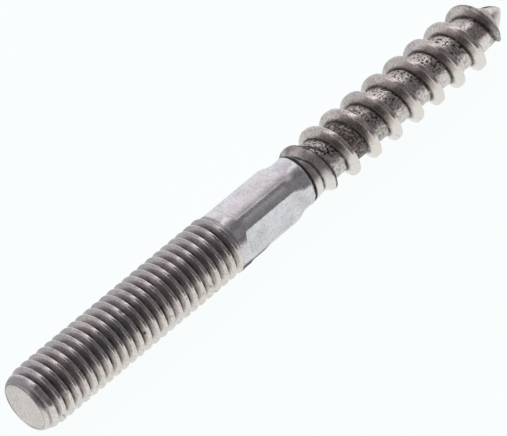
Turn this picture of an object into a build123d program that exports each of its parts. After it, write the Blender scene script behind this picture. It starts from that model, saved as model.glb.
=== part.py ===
"""Hanger bolt, M8 by 80: metric end, wrench square, neck and wood-screw thread on one steel rod."""

import os

from math import ceil, radians, tan

from build123d import *

os.makedirs("parts", exist_ok=True)

# Whole bolt, from the flat metric end to the point
length = 80.0
thread_dia = 8.0

# Metric end: the rod at its major diameter, with a bevelled end face
metric_length = 32.2
metric_runout = 0.4
end_face_dia = 6.2
end_bevel = 0.95
bevel_round = 0.25

# Wrench square pressed into the shank
shank_dia = 7.45
square_flats = 6.4
square_lead = 0.9
square_length = 8.0
square_ramp = 0.45
square_turn = 70.5

# Shoulder and neck between the square and the wood thread
shoulder_length = 1.5
shoulder_round = 1.5
neck_dia = 6.3
neck_length = 1.9

# Wood thread, right hand, rising over its first turn
wood_pitch = 3.6
wood_core_dia = 5.7
wood_crest = 0.6
wood_flank_angle = 25.0
wood_phase_share = 0.089
runin_length = 4.8
runin_step_share = 0.33
runin_rise_share = 0.57

# Blunt point, with the last turn running out on it
point_length = 3.2
point_round = 0.5
runout_lead = 2.5
runout_share = 0.45
runout_drop_share = 0.21

# Radii and heights along the axis that follow from the sizes above
thread_radius = thread_dia / 2
end_face_radius = end_face_dia / 2
shank_radius = shank_dia / 2
flat_distance = square_flats / 2
neck_radius = neck_dia / 2
core_radius = wood_core_dia / 2
crest_half = wood_crest / 2
square_start = metric_length + square_lead
shoulder_start = square_start + square_length
neck_start = shoulder_start + shoulder_length
wood_start = neck_start + neck_length
core_start = wood_start + runin_length
point_start = length - point_length

# Rod standing on its end face, turned from one outline
with BuildPart() as rod:
    with BuildSketch(Plane.XZ):
        with BuildLine():
            outline = FilletPolyline(
                (0, 0),
                (end_face_radius, 0),
                (thread_radius, end_bevel),
                (thread_radius, metric_length),
                (shank_radius, metric_length + metric_runout),
                (shank_radius, shoulder_start),
                (neck_radius, neck_start),
                (neck_radius, wood_start),
                (core_radius, core_start),
                (core_radius, point_start),
                (0, length),
                radius=(bevel_round, bevel_round, 0, 0, shoulder_round, shoulder_round, 0, 0, point_round),
            )
            Line(outline @ 1, outline @ 0)
        make_face()
    revolve(axis=Axis.Z)

# Press die for one flat of the square, sloping in at the metric side
with BuildPart() as flat_die:
    with BuildSketch(Plane.XZ):
        with BuildLine():
            Polyline(
                (shank_dia, square_start),
                (shank_radius, square_start),
                (flat_distance, square_start + square_ramp),
                (flat_distance, neck_start),
                (shank_dia, neck_start),
                close=True,
            )
        make_face()
    extrude(amount=shank_radius, both=True)

# Ridge of the wood thread: one profile wound round the core turn by turn
ridge_start = wood_start + wood_pitch * (wood_phase_share - 1)
ridge_turns = ceil((length - ridge_start) / wood_pitch)
ridge_heel = core_radius - crest_half
ridge_foot = core_radius / 2
heel_half = crest_half + (thread_radius - ridge_heel) * tan(radians(wood_flank_angle))

# Cones that trim the ridge where it rises from the neck and where it runs out on the point
step_height = wood_start + runin_length * runin_step_share
step_radius = neck_radius + (thread_radius - neck_radius) * runin_rise_share
runin_slope = (core_start - step_height) / (thread_radius - step_radius)
drop_radius = thread_radius * (1 - runout_drop_share)
runout_slope = runout_lead / (thread_radius - drop_radius)
tail_height = point_start + point_length * runout_share
tail_radius = core_radius * (1 - runout_share) / 2
trim_radius = thread_radius + crest_half

with BuildPart() as wood_ridge:
    with BuildLine() as ridge_path:
        for turn in range(ridge_turns):
            Helix(wood_pitch, wood_pitch, thread_radius, center=(0, 0, ridge_start + turn * wood_pitch))
    with BuildSketch(Plane.XZ):
        with BuildLine():
            Polyline(
                (thread_radius, ridge_start - crest_half),
                (thread_radius, ridge_start + crest_half),
                (ridge_heel, ridge_start + heel_half),
                (ridge_foot, ridge_start + heel_half),
                (ridge_foot, ridge_start - heel_half),
                (ridge_heel, ridge_start - heel_half),
                close=True,
            )
        make_face()
    sweep(path=ridge_path.line, is_frenet=True, clean=False)
    with BuildSketch(Plane.XZ):
        with BuildLine():
            Polyline(
                (0, wood_start - crest_half),
                (neck_radius - crest_half, wood_start - crest_half),
                (step_radius, step_height),
                (trim_radius, core_start + crest_half * runin_slope),
                (trim_radius, point_start - runout_lead - crest_half * runout_slope),
                (drop_radius, point_start),
                (tail_radius, tail_height),
                (0, tail_height),
                close=True,
            )
        make_face()
    revolve(axis=Axis.Z, clean=False, mode=Mode.INTERSECT)

# Bolt with its square pressed and its thread on, at rest on its side with the point toward +X
with BuildPart() as blank:
    add(rod.part)
    with PolarLocations(0, 4, start_angle=square_turn):
        add(flat_die.part, mode=Mode.SUBTRACT)
    add(wood_ridge.part, clean=False)

with BuildPart() as hanger_bolt:
    with Locations(Location((-length / 2, 0, thread_radius), (0, 90, 0))):
        add(blank.part, clean=False)

hanger_bolt.part.label = "hanger_bolt"
export_step(hanger_bolt.part, "parts/hanger_bolt.step")
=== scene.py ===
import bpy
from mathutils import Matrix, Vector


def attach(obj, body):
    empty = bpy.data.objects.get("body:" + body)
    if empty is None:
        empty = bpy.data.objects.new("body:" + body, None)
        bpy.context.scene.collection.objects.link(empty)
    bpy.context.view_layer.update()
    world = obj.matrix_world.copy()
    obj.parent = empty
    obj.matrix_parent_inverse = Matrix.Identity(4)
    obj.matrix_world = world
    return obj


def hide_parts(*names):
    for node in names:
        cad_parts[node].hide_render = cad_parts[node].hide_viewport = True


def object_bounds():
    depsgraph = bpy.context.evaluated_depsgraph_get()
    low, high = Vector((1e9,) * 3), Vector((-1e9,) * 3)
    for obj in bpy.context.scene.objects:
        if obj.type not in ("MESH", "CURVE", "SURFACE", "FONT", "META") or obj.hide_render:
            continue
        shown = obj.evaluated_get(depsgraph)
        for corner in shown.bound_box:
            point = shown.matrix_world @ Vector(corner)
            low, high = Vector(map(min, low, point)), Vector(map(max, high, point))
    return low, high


bl_info = {
    "name": "Hanger Bolt",
    "version": (1, 0, 0),
    "blender": (4, 5, 0),
    "location": "View3D > Sidebar > Hanger Bolt",
    "description": "Gives the packed hanger bolt its threads, its rolled steel and a small studio",
    "category": "Object",
}

import math
from typing import NamedTuple

import bmesh
import bpy
import numpy as np
from bpy.props import FloatProperty, FloatVectorProperty, IntProperty, PointerProperty
from mathutils import Vector, noise

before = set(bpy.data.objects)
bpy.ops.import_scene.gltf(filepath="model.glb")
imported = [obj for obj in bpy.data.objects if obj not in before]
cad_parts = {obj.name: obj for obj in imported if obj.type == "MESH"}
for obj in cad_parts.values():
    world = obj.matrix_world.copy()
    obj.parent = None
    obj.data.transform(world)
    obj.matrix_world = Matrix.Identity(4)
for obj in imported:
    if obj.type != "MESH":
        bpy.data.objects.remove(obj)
cad_low, cad_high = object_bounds()

MM = 0.001
TAU = 2 * math.pi
SEED = 8
# Attributes of the surface that tell the material what is where. The film, the soot and the specks carry
# painted shade as well as real residue
PAINTS = ("film", "cool", "soot", "dirt", "speck", "worn", "polish", "pressed")


def linear(text):
    """sRGB hex to linear RGBA."""
    parts = [int(text[i : i + 2], 16) / 255 for i in (1, 3, 5)]
    return [c / 12.92 if c <= 0.04045 else ((c + 0.055) / 1.055) ** 2.4 for c in parts] + [1.0]


def size(name, description, mm):
    """A length that a user can change, given in mm."""
    return FloatProperty(name=name, description=description, default=mm * MM, unit="LENGTH", precision=5)


def angle(name, description, degrees):
    """An angle that a user can change, given in degrees."""
    return FloatProperty(name=name, description=description, default=math.radians(degrees), subtype="ANGLE")


def count(name, description, number):
    """A number of things that a user can change."""
    return IntProperty(name=name, description=description, default=number, min=0)


def colour(name, description, text):
    """A colour that a user can change, given as sRGB hex."""
    return FloatVectorProperty(
        name=name, description=description, default=linear(text), size=4, min=0, max=1, subtype="COLOR"
    )


class BoltSizes(bpy.types.PropertyGroup):
    """Sizes of the bolt. Places along the axis are measured from the flat end face"""

    length: size("Length", "End face to point", (cad_high.x - cad_low.x) / MM)
    thread_dia: size("Thread Diameter", "Outside of the metric thread", (cad_high.z - cad_low.z) / MM)
    metric_pitch: size("Metric Pitch", "Crest to crest on the metric end", 1.25)
    metric_crest: size("Metric Crest", "Where one metric crest crosses the +Y side", 1.994)
    metric_land: size("Metric Land", "Flat on top of the metric thread", 0.32)
    metric_root_dia: size("Metric Root", "Diameter in the metric roots", 6.55)
    metric_end: size("Metric End", "Where the metric thread has run out", 31.8)
    face_dia: size("Face Diameter", "Flat of the bevelled end", 6.3)
    face_dish: size("Face Dish", "Hollow of the cropped end face", 0.05)
    bevel: size("Bevel", "The rounded bevel eases out over about twice this length", 0.95)
    shank_dia: size("Shank Diameter", "Plain rod under the square", 7.45)
    square_flats: size("Across Flats", "Width of the pressed square", 6.4)
    square_start: size("Square Start", "Where the flats begin", 33.1)
    square_turn: angle("Square Turn", "Angle of one flat from +Y", 70.5)
    shoulder_start: size("Shoulder Start", "Where the square gives way to the neck", 41.1)
    neck_start: size("Neck Start", "Where the neck begins", 43.0)
    neck_dia: size("Neck Diameter", "Waist before the wood thread", 6.45)
    wood_start: size("Wood Start", "Rolling lap where the wood thread begins", 44.55)
    wood_pitch: size("Wood Pitch", "Crest to crest on the wood end", 3.6)
    wood_crest: size("Wood Crest", "Where one wood crest crosses the +Y side", 49.22)
    wood_land: size("Wood Land", "Flat on top of the wood thread", 0.5)
    wood_dia: size("Wood Diameter", "Outside diameter of the wood thread", 7.86)
    core_dia: size("Core Diameter", "Core of the wood thread", 5.5)
    core_start: size("Core Start", "Where the wood thread stands full", 49.3)
    point_start: size("Point Start", "Where the core draws in to the cone", 76.8)
    cone_start: size("Cone Start", "Where the bare cone of the point begins", 77.5)
    cone_dia: size("Cone Diameter", "Base of the bare cone", 3.9)
    point_lean: size("Point Lean", "How far the tip leans to one side", 0.36)
    point_side: angle("Point Side", "Side that the tip leans to, from +Y", 75)
    metric_flank: angle("Metric Flank", "Lean of the metric flanks", 30)
    wood_flank: angle("Wood Flank", "Lean of the wood flanks", 25)
    columns: IntProperty(name="Columns", description="Faces round the bolt", default=108, min=24)


class BoltMarks(bpy.types.PropertyGroup):
    """Marks that rolling, pressing and use have left on the bolt"""

    nick_count: count("Nicks", "Small nicks on the metric crests", 70)
    nick_depth: size("Nick Depth", "The one large nick on the metric thread", 0.08)
    crest_wear: size("Crest Wear", "Unevenness of the metric crests", 0.035)
    burr_height: size("Burr Height", "Burr along one corner of the square", 0.24)
    lap_depth: size("Lap Depth", "Groove of the rolling lap", 0.26)
    lip_height: size("Lip Height", "Lip before the rolling lap", 0.05)
    fold_height: size("Fold Height", "Low fold after the lap, and the groove behind it", 0.1)
    seam_depth: size("Seam Depth", "Short seam in the first valley", 0.06)
    crease_depth: size("Crease Depth", "Crease at the foot of each wood ridge", 0.07)
    pit_count: count("Pits", "Pits in the core of the wood thread", 900)
    dent_count: count("Dents", "Dents on the ridges of the wood thread", 260)
    groove_depth: size("Groove Depth", "Groove along the last wood ridge", 0.05)
    pinch_depth: size("Pinch Depth", "Stroke where the point was pinched off", 0.05)


class BoltFinish(bpy.types.PropertyGroup):
    """Colours of the steel and of what the rolling left on it. The film and soot colours also serve for
    painted shade
    """

    steel: colour("Steel", "Clean rolled steel of the threads", "#E7DFD9")
    pressed: colour("Pressed Steel", "Steel of the square and the neck", "#DDDBDF")
    film_warm: colour("Warm Film", "Steel under a brownish film of rolling oil", "#B9ACA3")
    film_cool: colour("Cool Film", "Steel under a greyish film of rolling oil", "#ACA7AC")
    # The soot colour is also the colour of painted shade in roots, creases and behind ridges
    soot: colour("Soot", "Black residue in roots and folds", "#15120F")
    dirt: colour("Brown Dirt", "Dried oil and dirt in the wood thread", "#4B3D2E")


class StudioSettings(bpy.types.PropertyGroup):
    """Camera, light and floor"""

    azimuth: angle("Azimuth", "0 looks along +Y", -46.89)
    elevation: angle("Elevation", "Camera above the horizon", 51.94)
    distance: size("Distance", "Camera to the bolt's middle", 570)
    lens: FloatProperty(name="Lens", description="Focal length in mm", default=350.66, unit="CAMERA")
    sensor: FloatProperty(name="Sensor", description="Sensor width in mm", default=36, unit="CAMERA")
    aim_right: size("Aim Right", "Aim beside the bolt's middle", -1.878)
    aim_up: size("Aim Up", "Aim above the bolt's middle", -1.760)
    floor_width: size("Floor Width", "Side of the table top", 4000)
    floor: colour("Floor", "White table top", "#FBFFFF")
    room: colour("Room", "Tint of the light", "#FDFBFE")
    floor_white: FloatProperty(
        name="Floor White", description="Share of the floor shown as white", default=0.96, subtype="FACTOR"
    )


def add_node(tree, kind, inputs=None, **settings):
    """One node with its settings, and its inputs set or linked."""
    made = tree.nodes.new(kind)
    for name, value in settings.items():
        setattr(made, name, value)
    for socket, value in (inputs or {}).items():
        if isinstance(value, bpy.types.NodeSocket):
            tree.links.new(value, made.inputs[socket])
        else:
            made.inputs[socket].default_value = value
    return made


def ease(x, low, high):
    """0 below low, 1 above high, smooth between."""
    t = np.clip((x - low) / (high - low), 0, 1)
    return t * t * (3 - 2 * t)


def hump(x, width, at=0):
    """1 at that place, falling smoothly to nothing about twice that width away."""
    return np.exp(-(((x - at) / width) ** 2))


def uneven(hills, level, swing, least=0):
    """A level that noise swings up and down, kept between the least and 1."""
    return np.clip(level + swing * hills, least, 1)


def along(x, outline):
    """Height at x on an outline of (place, height) points."""
    places, heights = zip(*outline)
    return np.interp(x, places, heights)


def round_min(a, b, width):
    """The smaller of two heights, with the edge between them rounded over that height."""
    h = np.clip(0.5 + 0.5 * (b - a) / width, 0, 1)
    return b + (a - b) * h - width * h * (1 - h)


def round_max(a, b, width):
    """The larger of two heights, with the corner between them filleted over that height."""
    return -round_min(-a, -b, width)


def wander(points, hill):
    """Smooth noise from about -1 to 1 with hills of that size, for points in mm."""
    fading, gap, octaves = 1.0, 2.0, 2
    return np.array([noise.fractal(Vector(p) / hill, fading, gap, octaves) for p in points])


def from_crest(z, turn, crest, pitch):
    """Distance along the axis to the nearest crest of a right-hand thread, negative before it."""
    u = (z - crest) / pitch - turn
    return (u - np.round(u)) * pitch


class Span(NamedTuple):
    """A stretch with soft ends, in mm along the axis or in degrees about it."""

    start: float
    full: float
    fade: float
    end: float

    def share(self, x):
        """1 within the stretch, 0 outside it."""
        return ease(x, self.start, self.full) * (1 - ease(x, self.fade, self.end))


class Spot(NamedTuple):
    """A small mark: its place and half length in mm along the axis, its angle and half width in degrees."""

    place: float
    length: float
    angle: float
    width: float

    def share(self, z, degrees):
        """1 in the middle of the mark, fading out round it."""
        return hump(z, self.length, at=self.place) * hump(degrees, self.width, at=self.angle)


class Hollows(NamedTuple):
    """Small round hollows: the stretch they lie on, and the ranges of their widths and depths, in mm."""

    stretch: tuple
    widths: tuple
    depths: tuple


# Where marks lie: places in mm from the end face, angles in degrees from +Y
# Painted shade: the side, in degrees, where film and black are laid thin, since the white floor lights it
FLOOR_LIT_SIDE = Span(120, 165, 250, 300)
NICKS = Hollows((2, 31), (0.12, 0.3), (0.04, 0.1))
LARGE_NICK = Spot(14.95, 0.25, 100.5, 4)
BROWN_SPOT = Spot(15.5, 0.25, 163, 4)
CORNER_STRIP = Span(33.6, 34.4, 40.6, 41.2)
BURR = Span(31.3, 31.7, 35.2, 36.8)
FOLD_REACH = Span(50, 80, 170, 200)
FOLD_RUN = ((60, 44.7), (86, 44.9), (106, 45.33), (126, 45.5), (153, 45.6), (200, 45.7))
SEAM_REACH = Span(50, 60, 104, 116)
CHIP = Spot(45.95, 0.16, 30, 6)
PITS = Hollows((46.5, 73), (0.12, 0.26), (0.03, 0.08))
DENTS = Hollows((46.5, 76), (0.12, 0.22), (0.02, 0.05))
# Brown dirt along the core: heaviest in the second valley and on the last ridge
BROWN = (
    *((45, 0.2), (47.5, 0.3), (50.4, 0.45), (51.4, 0.95), (53.2, 0.95)),
    *((54.4, 0.55), (56.8, 0.5), (58.2, 0.25), (60, 0.3), (66, 0.22)),
    *((72.6, 0.1), (74.6, 0.15), (76, 0.6), (77.3, 0.9), (77.9, 0.0)),
)
# Turns of the wood thread that run late: by how much, and the stretch over which that builds up
LATE_TURNS = ((0.14, 58, 64), (0.28, 71.5, 75.5), (0.35, 75.8, 77.2))
LEAN_STRETCH = (77.2, 79)
# Share of the drop to the end face that is left, by bevel lengths from it; below 0 is clear of the thread
BEVEL_OUTLINE = ((0, 1), (0.35, 0.66), (0.9, 0.4), (1.6, 0.17), (2.2, 0.03), (3, -0.1), (4, -0.4))


class BoltForm:
    """The bolt's surface as a radius for each place along the axis and each turn about it, in mm."""

    def __init__(self, *groups):
        for group in groups:
            for name in type(group).__annotations__:
                value = getattr(group, name)
                is_length = group.bl_rna.properties[name].unit == "LENGTH"
                setattr(self, name, value / MM if is_length else value)
        # A hair inside the box that the solid fills
        clearance = 0.005
        self.metric_top = self.thread_dia / 2 - clearance
        self.metric_root = self.metric_root_dia / 2
        self.face = self.face_dia / 2
        self.shank = self.shank_dia / 2
        self.flat = self.square_flats / 2
        self.neck = self.neck_dia / 2
        self.wood_top = self.wood_dia / 2
        self.core = self.core_dia / 2
        self.cone = self.cone_dia / 2

    def metric_radius(self, z, turn):
        """60 degree ridges that start on the rounded bevel and run out on the shank."""
        ahead = from_crest(z, turn, self.metric_crest, self.metric_pitch)
        # The edge of the crest toward the end face is rounder than the other one
        near_round, far_round, root_fillet, bevel_round = 0.16, 0.05, 0.1, 0.1
        crest_round = np.where(ahead < 0, near_round, far_round)
        ridge = self.metric_top - (np.abs(ahead) - self.metric_land / 2) / math.tan(self.metric_flank)
        falling = ease(z, self.metric_end - 0.5, self.metric_end)
        rising = ease(z, self.metric_end - 1.4, self.metric_end - 0.1)
        land = self.metric_top + (self.shank - self.metric_top) * falling
        root = self.metric_root + (self.shank - self.metric_root) * rising
        thread = round_max(round_min(ridge, land, crest_round), root, root_fillet)
        drop = self.thread_dia / 2 - self.face
        rim = self.thread_dia / 2 - drop * along(z / self.bevel, BEVEL_OUTLINE)
        edge_break, edge_length = 0.08, 0.03
        rim = rim - edge_break * np.exp(-z / edge_length)
        return round_min(thread, rim, bevel_round)

    def shank_radius(self, z, turn):
        """Plain rod with four pressed flats, and the soft shoulder down to the neck."""
        corner_round, shoulder_round = 0.07, 0.08
        # Before the square, the flats stand this far outside the rod
        outside = 0.1
        unpressed = 1 - ease(z, self.square_start - 0.05, self.square_start + 0.5)
        press = self.flat + (self.shank - self.flat + outside) * unpressed
        radius = np.full_like(z, self.shank)
        least_lean = 0.3
        for quarter in range(4):
            lean = np.cos(TAU * turn - self.square_turn - quarter * TAU / 4)
            radius = round_min(radius, press / np.maximum(lean, least_lean), corner_round)
        falling = ease(z, self.shoulder_start - 0.2, self.neck_start + 0.2)
        return round_min(radius, self.shank + (self.neck - self.shank) * falling, shoulder_round)

    def lap_place(self, turn):
        """Where the rolling lap runs: a ring that isn't quite square to the axis."""
        skew, side = 0.14, math.radians(28)
        return self.wood_start + skew * np.cos(TAU * turn - side)

    def fold_place(self, turn):
        """Where the low fold runs between the lap and the first ridge."""
        return along(np.degrees(TAU * turn), FOLD_RUN)

    def wood_away(self, z, turn):
        """Distance to the nearest wood crest. The later turns run a little late, the last one most."""
        late = sum(mm * ease(z, start, stop) for mm, start, stop in LATE_TURNS)
        return from_crest(z - late, turn, self.wood_crest, self.wood_pitch)

    def wood_slope(self, z):
        """Run for each rise of the flank before the crest, which lies back on the first turn."""
        lean = math.tan(self.wood_flank)
        return along(z, [(46.2, 1.25), (self.core_start, lean), (74, lean), (75.5, 0.6 * lean)])

    def core_radius(self, z):
        """Core of the wood thread, from the neck to the bulging cone of the point."""
        rod = [(self.wood_start, self.neck - 0.02), (self.core_start, self.core), (73, self.core)]
        taper = [(75.5, self.core - 0.2), (self.point_start, self.core - 0.3), (self.cone_start, self.cone)]
        left = np.clip((self.length - z) / (self.length - self.cone_start), 0, 1)
        bulge = 0.74
        return np.where(z > self.cone_start, self.cone * left**bulge, along(z, rod + taper))

    def ridge_limit(self, z):
        """How high the wood ridge may stand: it rises over its first turn and is cut off on the point."""
        run_in = [(self.wood_start, 3.1), (45.3, 3.66), (45.9, 3.74), (46.8, 3.66), (47.7, 3.56)]
        full = [(self.core_start, self.wood_top), (75.1, self.wood_top)]
        run_out = [(75.9, 3.74), (76.35, 3.4), (76.85, 2.85), (77.2, 2.4), (77.5, 1.5), (77.7, 0.0)]
        return along(z, run_in + full + run_out)

    def ridge_rise(self, z):
        """How far the wood ridge stands above the core."""
        return np.maximum(self.ridge_limit(z) - self.core_radius(z), 0)

    def crease_place(self, z):
        """Distance from the crest back to the foot of the flank before it."""
        return self.wood_land / 2 + self.ridge_rise(z) * self.wood_slope(z)

    def wood_radius(self, z, turn):
        """Blunt ridge wound on the core, with a sharp crease at the foot of its near flank."""
        crest_round, foot_fillet = 0.06, 0.05
        away = self.wood_away(z, turn)
        slope = np.where(away < 0, self.wood_slope(z), math.tan(self.wood_flank))
        limit = self.ridge_limit(z)
        ridge = round_min(limit - (np.abs(away) - self.wood_land / 2) / slope, limit, crest_round)
        return round_max(ridge, self.core_radius(z), foot_fillet)

    def radius(self, z, turn):
        """The whole bolt, from end face to tip."""
        shank_start = self.metric_end + 0.2
        body = np.where(z < shank_start, self.metric_radius(z, turn), self.shank_radius(z, turn))
        return np.where(z < self.wood_start, body, self.wood_radius(z, turn))

    def points(self, z, turn, radius):
        """Points in mm, in the frame's own axes. The tip leans to one side."""
        axis_height = (cad_low.z + cad_high.z) / 2 / MM
        lean = self.point_lean * ease(z, *LEAN_STRETCH)
        x = cad_low.x / MM + z
        y = radius * np.cos(TAU * turn) + lean * math.cos(self.point_side)
        height = axis_height + radius * np.sin(TAU * turn) + lean * math.sin(self.point_side)
        return np.stack([x, y, height], axis=1)


class BoltSkin:
    """The bolt's surface with its marks: the radius of each point in mm, and what clings to it, painted shade
    among it.
    """

    def __init__(self, form, z, turn):
        self.form = form
        self.z = z
        self.turn = turn
        self.rng = np.random.default_rng(SEED)
        self.radius = form.radius(z, turn)
        self.degrees = np.degrees(TAU * turn)
        self.paint = {name: np.zeros_like(z) for name in PAINTS}
        # Three noises, each taken from another place, so that they don't follow one another
        self.points = form.points(z, turn, self.radius)
        self.ragged = wander(self.points, 1.3)
        self.patchy = wander(self.points + 40, 2.6)
        self.frayed = wander(self.points + 120, 0.45)
        # Painted shade: film and black are laid thick on the upper and back side, thin on the low front side
        self.film_left = 1 - 0.88 * FLOOR_LIT_SIDE.share(self.degrees)

        self.metric = z < form.metric_end + 0.1
        self.wood = z > form.wood_start
        self.shank = ~self.metric & ~self.wood
        self.away = form.wood_away(z, turn) + 0.05 * self.ragged
        self.foot = form.crease_place(z)
        # Turns counted from the first full ridge: the ridge of the run-in is at -1
        self.turns = (z - form.wood_crest) / form.wood_pitch - turn
        self.run_in = 1 - ease(self.turns, -0.8, -0.7)
        self.standing = Span(form.wood_start + 0.9, form.wood_start + 1.6, 77.0, 77.4).share(z)
        between = np.maximum(self.away - form.wood_land / 2 - 0.25, -self.away - self.foot)
        last_valley = 1 - 0.65 * ease(z, 72.6, 73.2)
        before_point = 1 - ease(z, 76, 77)
        after_run_in = ease(self.turns, -1, -0.95)
        self.in_core = self.wood * ease(between, -0.05, 0.1) * last_valley * before_point * after_run_in

    def fill(self, part, **amounts):
        """Paints one part of the bolt, over what is there."""
        for name, amount in amounts.items():
            self.paint[name][part] = np.broadcast_to(amount, part.shape)[part]

    def lay(self, **amounts):
        """Lays paint where it is more than what is there."""
        for name, amount in amounts.items():
            self.paint[name] = np.maximum(self.paint[name], amount)

    def scatter(self, number, radius, hollows):
        """Depth of small round hollows scattered over a stretch of the axis."""
        sunk = np.zeros_like(self.z)
        for _ in range(number):
            at = self.rng.uniform(*hollows.stretch)
            side = self.rng.uniform(0, 1)
            width = self.rng.uniform(*hollows.widths)
            depth = self.rng.uniform(*hollows.depths)
            near = np.abs(self.z - at) < width
            around = (self.turn[near] - side + 0.5) % 1 - 0.5
            far = np.hypot(self.z[near] - at, around * TAU * radius) / width
            sunk[near] = np.maximum(sunk[near], depth * np.clip(1 - far * far, 0, 1) ** 1.5)
        return sunk

    def mark(self):
        """All the marks, in the order in which they lie over one another."""
        self.mark_metric_thread()
        self.mark_end_rim()
        self.mark_shank()
        self.mark_burr()
        self.mark_lap()
        self.mark_seam()
        self.mark_ridges()
        self.mark_core()
        self.mark_last_ridge()
        self.mark_dirt()
        self.mark_point()

    def mark_metric_thread(self):
        """Film on the flanks, painted shade as a black line in each root and a light darkening of the upper
        side, rubbed crests with nicks, and a brown spot.
        """
        form = self.form
        ahead = from_crest(self.z, self.turn, form.metric_crest, form.metric_pitch)
        away = np.abs(ahead)
        running = Span(0.5, 1.2, form.metric_end - 0.9, form.metric_end).share(self.z)
        rubbed = hump(ahead, width=0.06, at=0.13)
        broken = uneven(self.ragged, level=0.75, swing=0.5, least=0.2)
        # Painted shade: a black line in each root, where the crest beside it hides the root
        root_shade = ease(away, 0.46, 0.56) * running * broken
        self.fill(
            self.metric,
            film=self.film_left * (1 - 0.9 * rubbed * running),
            polish=1 - ease(away, 0.2, 0.4),
            cool=1.0,
            speck=0.2,
            # Painted shade: the root line, and a light darkening away from the low front side
            soot=np.maximum(root_shade, 0.1 * self.film_left * (1 - rubbed)),
        )
        crest_half = 0.3
        crest = self.metric & (away < crest_half)
        nicks = self.scatter(form.nick_count, form.metric_top, NICKS) * crest
        nicks = nicks + form.crest_wear * np.clip(wander(self.points + 80, 0.7), 0, 1) * running * crest
        nicks = nicks + form.nick_depth * LARGE_NICK.share(self.z, self.degrees)
        self.radius = self.radius - nicks
        self.lay(soot=6 * nicks, dirt=1.4 * BROWN_SPOT.share(self.z, self.degrees))

    def mark_end_rim(self):
        """Painted reflection: dark film on the end face's rim. Painted shade: film and some soot on the
        bevel.
        """
        # Painted reflection: the rim mirrors the shaded floor under the bolt, so it is drawn dark
        rim = hump(self.z, width=0.05, at=0.03)
        # Painted shade: the bevel is darkened away from the low front side
        bevel = self.film_left * (1 - ease(self.z, 0.7, 1.1))
        self.lay(film=np.maximum(0.9 * rim, bevel), soot=0.3 * bevel)

    def mark_shank(self):
        """Thin film, with painted shade along the upper edge of one corner to take down its highlight, and a
        rubbed strip along each corner.
        """
        # Painted shade: film and soot along the upper edge of one corner, where the soft box's highlight
        # falls
        upper_corner_shade = hump(self.degrees, width=8, at=98)
        self.fill(
            self.shank,
            film=np.clip(0.12 + 0.3 * self.patchy + 0.3 * self.ragged + 0.8 * upper_corner_shade, 0, 1),
            soot=0.2 * hump(self.degrees, width=3, at=100.5),
            speck=0.2,
            cool=1.0,
            pressed=1.0,
            polish=0.2,
        )
        corner = np.abs((self.degrees - math.degrees(self.form.square_turn)) % 90 - 45)
        strip = hump(corner, width=3.2, at=2) * CORNER_STRIP.share(self.z)
        self.lay(worn=strip * self.shank)

    def mark_burr(self):
        """Burr pressed out along one corner of the square, thinner after its first stretch."""
        thinned = 1 - 0.5 * ease(self.z, 33, 33.6)
        burr = hump(self.degrees, width=6, at=204) * BURR.share(self.z) * thinned
        self.radius = np.minimum(self.radius + self.form.burr_height * burr, self.form.metric_top)
        self.lay(soot=2.2 * burr)

    def mark_lap(self):
        """Rolling lap: a black groove with a bright lip before it and a low fold after it."""
        form = self.form
        lap = self.z - form.lap_place(self.turn) - 0.03 * self.ragged - 0.04 * self.frayed
        groove = hump(lap, width=0.11) * uneven(self.ragged, level=0.8, swing=0.35, least=0.4)
        lip = hump(lap, width=0.12, at=-0.28)
        self.radius = self.radius - form.lap_depth * groove + form.lip_height * lip
        self.lay(soot=1.7 * hump(lap, width=0.17, at=0.07), worn=hump(lap, width=0.08, at=-0.27))
        fold = self.z - form.fold_place(self.turn)
        reach = FOLD_REACH.share(self.degrees) * self.wood
        swell = hump(fold, width=0.12) - hump(fold, width=0.12, at=0.34)
        self.radius = self.radius + form.fold_height * reach * swell
        self.lay(worn=0.8 * reach * hump(fold, width=0.1))
        self.lay(soot=1.4 * reach * hump(fold, width=0.14, at=0.36))

    def mark_seam(self):
        """Short slanting seam in the first valley."""
        start_place, start_angle, slant, width = 47.2, 58.6, 0.0192, 0.15
        line = self.z - start_place - slant * (self.degrees - start_angle)
        seam = hump(line, width) * self.wood * SEAM_REACH.share(self.degrees)
        self.radius = self.radius - self.form.seam_depth * seam
        self.lay(soot=1.8 * seam)

    def mark_ridges(self):
        """Wood thread: a black crease before each ridge, partly painted shade, a thinner painted shadow
        behind it, a painted shadow along the run-in's edge, and the run-in darkened on its upper and back
        side.
        """
        form = self.form
        ragged, frayed = self.ragged, self.frayed
        standing = self.standing * self.wood
        width = 0.09 + 0.06 * np.clip(ragged, 0, 1) + 0.06 * np.clip(frayed, -0.5, 1)
        crease = hump(self.away + self.foot + 0.06 * frayed, width) * standing * (1 - self.run_in)
        self.radius = self.radius - form.crease_depth * crease
        broken = uneven(0.4 * ragged + 0.5 * frayed, level=0.8, swing=1, least=0.25)
        # The black in each crease is partly painted shade: it is laid darker away from the low front side
        self.lay(soot=(1.3 + 0.6 * self.film_left) * crease * broken)

        # Painted shadow: a thinner black line along the far edge of each ridge, heavier on the run-in
        behind = self.away - form.wood_land / 2 - 0.5 * form.ridge_rise(self.z) - 0.05
        ridge_shadow = hump(behind, width=0.09) * standing
        self.lay(soot=(0.75 + 0.8 * self.run_in) * ridge_shadow * uneven(ragged, level=0.8, swing=0.6))

        # Painted shadow: black along the far edge of the run-in ridge, where its edge shades the core
        edge = hump(self.away + 0.06 * frayed, width=0.13, at=0.17) * self.run_in * ease(self.z, 45.6, 46.2)
        self.lay(soot=2.0 * edge * self.wood * uneven(ragged, level=0.8, swing=0.6, least=0.15))
        self.lay(soot=1.6 * CHIP.share(self.z, self.degrees))
        # The run-in is darkened over its upper and back side
        run_in_darkening = self.run_in * (1 - ease(self.degrees, 130, 170)) * uneven(ragged, level=0.36, swing=0.4)
        self.lay(soot=run_in_darkening * self.wood)

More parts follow.
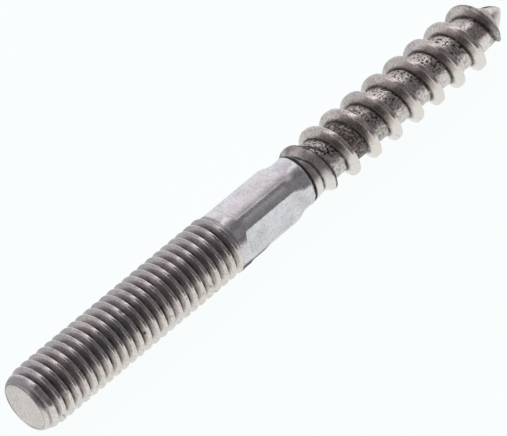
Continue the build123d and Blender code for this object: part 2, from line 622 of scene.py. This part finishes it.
    def mark_core(self):
        """Pitted core and dented ridges, under film laid thicker away from the low front side as painted
        shade, with a rubbed line along the far edge of each crest.
        """
        form = self.form
        in_core = self.in_core
        pits = self.scatter(form.pit_count, form.core, PITS) * in_core
        dents = self.scatter(form.dent_count, form.wood_top, DENTS) * self.wood * (1 - in_core)
        pits = np.maximum(pits, dents)
        self.radius = self.radius - pits
        self.lay(soot=7 * pits)
        barer = 0.4 * in_core * ease(self.z, 72.6, 73.4)
        # Painted shade: film and specks are laid thicker away from the low front side
        film = np.maximum(self.film_left, 0.4 * in_core) * (0.72 + 0.3 * self.patchy - barer)
        rubbed = hump(self.away, width=0.06, at=0.23) * self.standing
        self.fill(
            self.wood,
            film=np.clip(film, 0, 1) * (1 - 0.9 * rubbed),
            speck=(0.3 * self.film_left + 0.7 * in_core) * (0.45 + 0.55 * self.film_left),
            polish=0.6 * (1 - in_core),
        )

    def last_ridge(self):
        """1 on the ridge that runs out on the point."""
        return ease(self.turns, 6.6, 6.8) * (1 - ease(self.away, 0.25, 0.35))

    def mark_last_ridge(self):
        """Thin groove along the last ridge."""
        groove = hump(self.away, width=0.08, at=-0.12) * self.last_ridge() * self.standing
        self.radius = self.radius - self.form.groove_depth * groove
        self.lay(soot=0.9 * groove)

    def mark_dirt(self):
        """Brown dirt beside the creases, in the core and on the last ridge."""
        beside = hump(self.away + self.foot, width=0.25, at=-0.12) * self.standing * (1 - self.run_in)
        self.lay(dirt=0.7 * beside * self.wood * uneven(self.patchy, level=0.7, swing=0.6))
        held = 0.35 + 0.65 * np.maximum(self.in_core, self.last_ridge())
        self.lay(dirt=along(self.z, BROWN) * held * self.wood)

    def mark_point(self):
        """Pinched point: scraped bright, with a dark stroke where the pinch closed."""
        scraped = ease(self.z, 77.6, 78)
        self.paint["film"] = self.paint["film"] * (1 - scraped)
        start_place, start_angle, twist, width = 78, 58, 8, 11
        line = self.degrees - start_angle - twist * (self.z - start_place)
        stroke = scraped * hump(line, width) * (1 - ease(self.z, 79.7, 79.9))
        self.radius = self.radius - self.form.pinch_depth * stroke
        self.lay(worn=0.8 * scraped, soot=1.5 * stroke)


def both_flanks(half):
    """Rows from one crest to the next in shares of the pitch, from those between a crest and a root."""
    return [0, *half, 0.5, *(1 - share for share in reversed(half))]


# Rows of points: closest together where the surface turns most
METRIC_ROWS = both_flanks([0.06, 0.1, 0.125, 0.155, 0.22, 0.32, 0.4, 0.45])
WOOD_ROWS = both_flanks(
    [
        *(0.035, 0.058, 0.068, 0.076, 0.1, 0.135, 0.17, 0.195),
        *(0.21, 0.225, 0.245, 0.275, 0.315, 0.36, 0.405, 0.455),
    ]
)
BEVEL_ROWS = [0, 0.012, 0.03, 0.06, 0.1, 0.16, 0.23, 0.3]
# Measured from the rolling lap
LAP_ROWS = [
    *(-0.42, -0.34, -0.28, -0.22, -0.17, -0.12, -0.07, -0.02),
    *(0.03, 0.08, 0.13, 0.18, 0.23, 0.29, 0.36, 0.45, 0.55, 0.65),
]
POINT_ROWS = [78.3, 78.5, 78.7, 78.9, 79.1, 79.3, 79.5, 79.65, 79.78, 79.88, 79.95]
# Rings of the end face, in shares of its radius
FACE_RINGS = (0.985, 0.95, 0.9, 0.8, 0.65, 0.45, 0.2)


def ring_rows(heights, form):
    """Rows square to the axis."""
    turn = np.arange(form.columns) / form.columns
    z = np.repeat(np.array(heights, float)[:, None], form.columns, axis=1)
    return z, np.broadcast_to(turn, z.shape)


def spiral_rows(start, stop, pitch, crest, shares, form):
    """Rows that follow a thread between two rings. A row that leaves the stretch gathers on its ring."""
    turn = np.arange(form.columns) / form.columns
    first = math.floor((start - crest) / pitch) - 2
    last = math.ceil((stop - crest) / pitch) + 2
    rows = np.concatenate([whole + np.array(shares) for whole in range(first, last)])
    z = crest + pitch * (rows[:, None] + turn)
    near = 0.3 * pitch / len(shares)
    z = np.where(z < start + near, start, np.where(z > stop - near, stop, z))
    return z, np.broadcast_to(turn, z.shape)


def grid_faces(shape, shift, first):
    """Corner numbers of a tube's faces; the last column meets the first one shift rows on."""
    rows, columns = shape
    faces = []
    for i in range(rows - 1):
        for j in range(columns):
            if j + 1 < columns:
                corners = ((i, j), (i, j + 1), (i + 1, j + 1), (i + 1, j))
            elif i + 1 + shift < rows:
                corners = ((i, j), (i + shift, 0), (i + 1 + shift, 0), (i + 1, j))
            else:
                continue
            faces.append([first + a * columns + b for a, b in corners])
    return faces


class BOLT_OT_steel(bpy.types.Operator):
    """Winds the bolt's surface with both threads, and gives it its rolled steel"""

    bl_idname = "bolt.steel"
    bl_label = "Bolt"

    def execute(self, context):
        scene = context.scene
        form = BoltForm(scene.bolt_sizes, scene.bolt_marks)
        z, turn, faces = self.wind(form)
        skin = BoltSkin(form, z, turn)
        skin.mark()
        mesh = self.close(skin, faces)
        mesh.materials.append(rolled_steel(scene.bolt_finish))

        bolt = bpy.data.objects.new("hanger_bolt_steel", mesh)
        scene.collection.objects.link(bolt)
        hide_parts("hanger_bolt")
        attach(bolt, "root")
        return {"FINISHED"}

    def wind(self, form):
        """Rows of points from the bevel to the tip, and the faces between them."""
        shank = np.concatenate(
            [
                np.linspace(form.metric_end + 0.2, form.square_start + 0.7, 10),
                np.linspace(form.square_start + 0.9, form.shoulder_start - 0.4, 36),
                np.linspace(form.shoulder_start - 0.2, form.wood_start - 0.5, 24),
                form.wood_start + np.array(LAP_ROWS),
            ]
        )
        bevel_end, point_rows_start = BEVEL_ROWS[-1], POINT_ROWS[0]
        metric = spiral_rows(bevel_end, shank[0], form.metric_pitch, form.metric_crest, METRIC_ROWS, form)
        wood = spiral_rows(shank[-1], point_rows_start, form.wood_pitch, form.wood_crest, WOOD_ROWS, form)
        stretches = [
            (*ring_rows(BEVEL_ROWS, form), 0),
            (*metric, len(METRIC_ROWS)),
            (*ring_rows(shank, form), 0),
            (*wood, len(WOOD_ROWS)),
            (*ring_rows(POINT_ROWS, form), 0),
        ]
        heights, turns, faces, first = [], [], [], 0
        for z, turn, shift in stretches:
            faces += grid_faces(z.shape, shift, first)
            heights.append(z.ravel())
            turns.append(turn.ravel())
            first += z.size
        return np.concatenate(heights), np.concatenate(turns), faces

    def close(self, skin, faces):
        """One closed mesh with the end face and the tip, and its paint as attributes."""
        form = skin.form
        columns = form.columns
        first = len(skin.z)
        following = [(j + 1) % columns for j in range(columns)]
        rings = [
            form.points(
                np.full(columns, form.face_dish * (1 - share**2)),
                skin.turn[:columns],
                skin.radius[:columns] * share,
            )
            for share in FACE_RINGS
        ]
        ends = form.points(np.array([form.face_dish, form.length]), np.zeros(2), np.zeros(2))
        points = np.concatenate([form.points(skin.z, skin.turn, skin.radius), *rings, ends])
        centre, tip = len(points) - 2, len(points) - 1
        rim = list(range(columns))
        for ring in range(len(rings)):
            inner = [first + ring * columns + j for j in range(columns)]
            faces += [[rim[j], inner[j], inner[k], rim[k]] for j, k in enumerate(following)]
            rim = inner
        faces += [[rim[j], centre, rim[k]] for j, k in enumerate(following)]
        last = [first - columns + j for j in range(columns)]
        faces += [[last[j], last[k], tip] for j, k in enumerate(following)]

        mesh = bpy.data.meshes.new("hanger_bolt_steel")
        mesh.from_pydata(points * MM, [], faces)
        for name, values in skin.paint.items():
            whole = np.concatenate([np.clip(values, 0, 1), self.face_paint(name, skin.degrees[:columns])])
            mesh.attributes.new(name, "FLOAT", "POINT").data.foreach_set("value", whole.astype(np.float32))

        shell = bmesh.new()
        shell.from_mesh(mesh)
        bmesh.ops.remove_doubles(shell, verts=shell.verts, dist=0.001 * MM)
        bmesh.ops.recalc_face_normals(shell, faces=shell.faces)
        open_edges = sum(not edge.is_manifold for edge in shell.edges)
        shell.to_mesh(mesh)
        shell.free()
        if open_edges:
            raise RuntimeError(f"the bolt's surface has {open_edges} open edges")
        mesh.shade_smooth()
        return mesh

    def face_paint(self, name, degrees):
        """One paint of the end face and the tip: cropped steel, with a dark patch near the rim that is a
        painted reflection of the shaded floor, and a scratch.
        """
        ground = {"film": 0.45, "speck": 0.22}
        rings = np.full((len(FACE_RINGS), len(degrees)), ground.get(name, 0.0))
        ends = np.full(2, ground.get(name, 0.0))
        if name == "soot":
            # Painted reflection: a dark patch on the rim, for the shaded floor under the bolt that it mirrors
            stain = hump(degrees, width=28, at=320)
            scratch = hump(degrees, width=22, at=245)
            rings[0] = stain
            rings[1] = np.maximum(0.5 * stain, 0.6 * scratch)
        return np.concatenate([rings.ravel(), ends])


def rolled_steel(finish):
    """Cold-formed stainless steel, thread-rolled and tumbled.

    The rolling leaves it satin, so each form carries a soft streak of light, with a grey film of oil on the
    flanks, black in the roots and brown dirt in the core. The black in the roots is painted shade, and film
    and black are also laid thicker on the upper and back side as painted shade.
    """
    material = bpy.data.materials.new("cold_formed_stainless_steel")
    material.use_nodes = True
    tree = material.node_tree
    tree.nodes.clear()
    place = add_node(tree, "ShaderNodeTexCoord").outputs["Object"]
    paint = {
        name: add_node(tree, "ShaderNodeAttribute", attribute_name=name).outputs["Fac"] for name in PAINTS
    }
    # Size in mm and detail of each noise. The tumbled grain is about 0.05 mm on the real bolt and is drawn
    # at 0.2 mm, so that it shows
    hills_mm = {"grain": (0.2, 2), "spots": (0.28, 3), "stain": (0.6, 4), "cloud": (2.6, 3)}
    hills = {}
    for name, (mm, detail) in hills_mm.items():
        inputs = {"Vector": place, "Scale": 1 / (mm * MM), "Detail": detail, "Roughness": 0.6}
        hills[name] = add_node(tree, "ShaderNodeTexNoise", inputs).outputs["Fac"]

    # Film of oil and painted shade, cloudy and gone where it is worn
    film = add_node(
        tree, "ShaderNodeMath", {0: hills["cloud"], 1: 1.3, 2: 0.3}, operation="MULTIPLY_ADD"
    ).outputs[0]
    for operation, name in (("MULTIPLY", "film"), ("SUBTRACT", "worn")):
        film = add_node(
            tree, "ShaderNodeMath", {0: film, 1: paint[name]}, operation=operation, use_clamp=True
        ).outputs[0]
    # Black specks, laid thicker on the upper side of the wood thread as painted shade
    spots = add_node(
        tree,
        "ShaderNodeMapRange",
        {"Value": hills["spots"], "From Min": 0.49, "From Max": 0.6, "To Max": 0.97},
    ).outputs[0]
    spots = add_node(
        tree, "ShaderNodeMath", {0: spots, 1: paint["speck"]}, operation="MULTIPLY"
    ).outputs[0]
    # Brown dirt, rubbed through to bright metal on the high spots of the pitted core
    dirt = add_node(tree, "ShaderNodeMath", {0: hills["stain"], 1: paint["dirt"]}, operation="ADD").outputs[0]
    dirt = add_node(
        tree, "ShaderNodeMapRange", {"Value": dirt, "From Min": 0.8, "From Max": 1.5, "To Max": 0.95}
    ).outputs[0]
    rubbed = add_node(
        tree,
        "ShaderNodeMapRange",
        {"Value": hills["spots"], "From Min": 0.36, "From Max": 0.5, "To Min": 0.3},
    ).outputs[0]
    dirt = add_node(tree, "ShaderNodeMath", {0: dirt, 1: rubbed}, operation="MULTIPLY").outputs[0]
    # Black residue and painted shade, a little grainy
    soot = add_node(
        tree, "ShaderNodeMath", {0: hills["grain"], 1: -0.5, 2: 1.2}, operation="MULTIPLY_ADD"
    ).outputs[0]
    soot = add_node(
        tree, "ShaderNodeMath", {0: soot, 1: paint["soot"]}, operation="MULTIPLY", use_clamp=True
    ).outputs[0]

    cool = add_node(
        tree,
        "ShaderNodeMath",
        {0: paint["cool"], 1: 0.3, 2: hills["cloud"]},
        operation="MULTIPLY_ADD",
        use_clamp=True,
    ).outputs[0]
    tint = add_node(
        tree,
        "ShaderNodeMix",
        {0: cool, 6: list(finish.film_warm), 7: list(finish.film_cool)},
        data_type="RGBA",
    ).outputs[2]
    base = add_node(
        tree,
        "ShaderNodeMix",
        {0: paint["pressed"], 6: list(finish.steel), 7: list(finish.pressed)},
        data_type="RGBA",
    ).outputs[2]
    layers = ((film, tint), (spots, list(finish.soot)), (dirt, list(finish.dirt)), (soot, list(finish.soot)))
    for share, over in layers:
        base = add_node(tree, "ShaderNodeMix", {0: share, 6: base, 7: over}, data_type="RGBA").outputs[2]

    grime = add_node(tree, "ShaderNodeMath", {0: dirt, 1: soot}, operation="MAXIMUM").outputs[0]
    metallic = add_node(
        tree, "ShaderNodeMath", {0: grime, 1: -0.85, 2: 1.0}, operation="MULTIPLY_ADD"
    ).outputs[0]
    # Satin, rougher under film, grime and wear, and smoother where the dies have polished it
    rough = 0.2
    for what, amount in (
        (hills["grain"], 0.16),
        (film, 0.06),
        (grime, 0.3),
        (paint["worn"], 0.3),
        (paint["polish"], -0.13),
    ):
        rough = add_node(
            tree, "ShaderNodeMath", {0: what, 1: amount, 2: rough}, operation="MULTIPLY_ADD"
        ).outputs[0]
    relief = add_node(
        tree, "ShaderNodeMath", {0: spots, 1: -1.5, 2: hills["grain"]}, operation="MULTIPLY_ADD"
    ).outputs[0]
    bump = add_node(tree, "ShaderNodeBump", {"Strength": 0.5, "Distance": 0.012 * MM, "Height": relief})
    steel = add_node(
        tree,
        "ShaderNodeBsdfPrincipled",
        {"Base Color": base, "Metallic": metallic, "Roughness": rough, "Normal": bump.outputs[0]},
    )
    add_node(tree, "ShaderNodeOutputMaterial", {"Surface": steel.outputs["BSDF"]})
    return material


class BOLT_OT_studio(bpy.types.Operator):
    """Lays the white floor, and sets the studio's light and the camera"""

    bl_idname = "bolt.studio"
    bl_label = "Studio"

    def execute(self, context):
        scene = context.scene
        settings = scene.bolt_studio
        scene.view_settings.view_transform = "Standard"
        scene.world = self.room(settings)

        bpy.ops.mesh.primitive_plane_add(size=settings.floor_width, location=(0, 0, cad_low.z))
        floor = context.object
        floor.name = "floor"
        floor.data.materials.append(self.table_top(settings))

        middle = (cad_low + cad_high) / 2
        a, e = settings.azimuth, settings.elevation
        back = Vector((math.sin(a) * math.cos(e), -math.cos(a) * math.cos(e), math.sin(e)))
        right = Vector((math.cos(a), math.sin(a), 0))
        up = back.cross(right)
        camera = bpy.data.objects.new("camera", bpy.data.cameras.new("camera"))
        camera.data.sensor_width = settings.sensor
        camera.data.lens = settings.lens
        camera.data.clip_start, camera.data.clip_end = 0.01, 20
        camera.location = middle + back * settings.distance
        aim = middle + right * settings.aim_right + up * settings.aim_up
        camera.rotation_euler = (aim - camera.location).to_track_quat("-Z", "Y").to_euler()
        scene.collection.objects.link(camera)
        scene.camera = camera
        return {"FINISHED"}

    def room(self, settings):
        """Dark room on the camera's side, a long soft box overhead and a pale backdrop behind the bolt."""
        world = bpy.data.worlds.new("studio_room")
        world.use_nodes = True
        tree = world.node_tree
        tree.nodes.clear()
        # Light by the angle about the bolt's axis: 0 is behind, 90 overhead and 180 in front
        backdrop = {0: 1.1, 30: 1.0, 46: 0.8}
        soft_box = {57: 1.15, 66: 2.1, 74: 1.2, 83: 0.25}
        dark_side = {100: 0.16, 118: 0.26, 145: 0.26, 160: 0.12, 171: 0.4, 180: 1.5}
        levels = backdrop | soft_box | dark_side
        way = add_node(tree, "ShaderNodeTexCoord").outputs["Generated"]
        parts = add_node(tree, "ShaderNodeSeparateXYZ", {0: way})
        about = add_node(
            tree, "ShaderNodeMath", {0: parts.outputs["Z"], 1: parts.outputs["Y"]}, operation="ARCTAN2"
        )
        share = add_node(
            tree, "ShaderNodeMapRange", {"Value": about.outputs[0], "From Min": 0.0, "From Max": math.pi}
        )
        top = max(levels.values())
        ramp = add_node(tree, "ShaderNodeValToRGB", {0: share.outputs[0]})
        stops = ramp.color_ramp.elements
        stops.remove(stops[1])
        for number, (degrees, level) in enumerate(levels.items()):
            stop = stops[0] if number == 0 else stops.new(degrees / 180)
            stop.position = degrees / 180
            stop.color = [level / top * c for c in settings.room[:3]] + [1]
        light = add_node(tree, "ShaderNodeBackground", {"Color": ramp.outputs["Color"], "Strength": top})
        add_node(tree, "ShaderNodeOutputWorld", {"Surface": light.outputs["Background"]})
        return world

    def table_top(self, settings):
        """Matt white laminate, near full white where it is looked at or mirrored, with its shadows kept."""
        material = bpy.data.materials.new("white_laminate")
        material.use_nodes = True
        tree = material.node_tree
        tree.nodes.clear()
        matt = add_node(tree, "ShaderNodeBsdfDiffuse", {"Color": list(settings.floor)})
        white = add_node(tree, "ShaderNodeEmission", {"Color": list(settings.floor), "Strength": 1.0})
        path = add_node(tree, "ShaderNodeLightPath").outputs
        seen = path["Is Camera Ray"]
        for ray in ("Is Glossy Ray", "Is Transmission Ray"):
            seen = add_node(tree, "ShaderNodeMath", {0: seen, 1: path[ray]}, operation="MAXIMUM").outputs[0]
        share = add_node(tree, "ShaderNodeMath", {0: seen, 1: settings.floor_white}, operation="MULTIPLY")
        mix = add_node(
            tree, "ShaderNodeMixShader", {0: share.outputs[0], 1: matt.outputs[0], 2: white.outputs[0]}
        )
        add_node(tree, "ShaderNodeOutputMaterial", {"Surface": mix.outputs[0]})
        return material


class BOLT_PT_panel(bpy.types.Panel):
    """Sizes, marks, finish and studio of the hanger bolt"""

    bl_idname = "BOLT_PT_panel"
    bl_label = "Hanger Bolt"
    bl_space_type = "VIEW_3D"
    bl_region_type = "UI"
    bl_category = "Hanger Bolt"

    def draw(self, context):
        scene = context.scene
        for settings in (scene.bolt_sizes, scene.bolt_marks, scene.bolt_finish, scene.bolt_studio):
            box = self.layout.box()
            for name in type(settings).__annotations__:
                box.prop(settings, name)
        self.layout.operator("bolt.steel")
        self.layout.operator("bolt.studio")


classes = (BoltSizes, BoltMarks, BoltFinish, StudioSettings, BOLT_OT_steel, BOLT_OT_studio, BOLT_PT_panel)


def register():
    for cls in classes:
        bpy.utils.register_class(cls)
    bpy.types.Scene.bolt_sizes = PointerProperty(type=BoltSizes)
    bpy.types.Scene.bolt_marks = PointerProperty(type=BoltMarks)
    bpy.types.Scene.bolt_finish = PointerProperty(type=BoltFinish)
    bpy.types.Scene.bolt_studio = PointerProperty(type=StudioSettings)


def unregister():
    del bpy.types.Scene.bolt_studio
    del bpy.types.Scene.bolt_finish
    del bpy.types.Scene.bolt_marks
    del bpy.types.Scene.bolt_sizes
    for cls in reversed(classes):
        bpy.utils.unregister_class(cls)


def main():
    register()
    bpy.ops.bolt.steel()
    bpy.ops.bolt.studio()


if __name__ == "__main__":
    main()
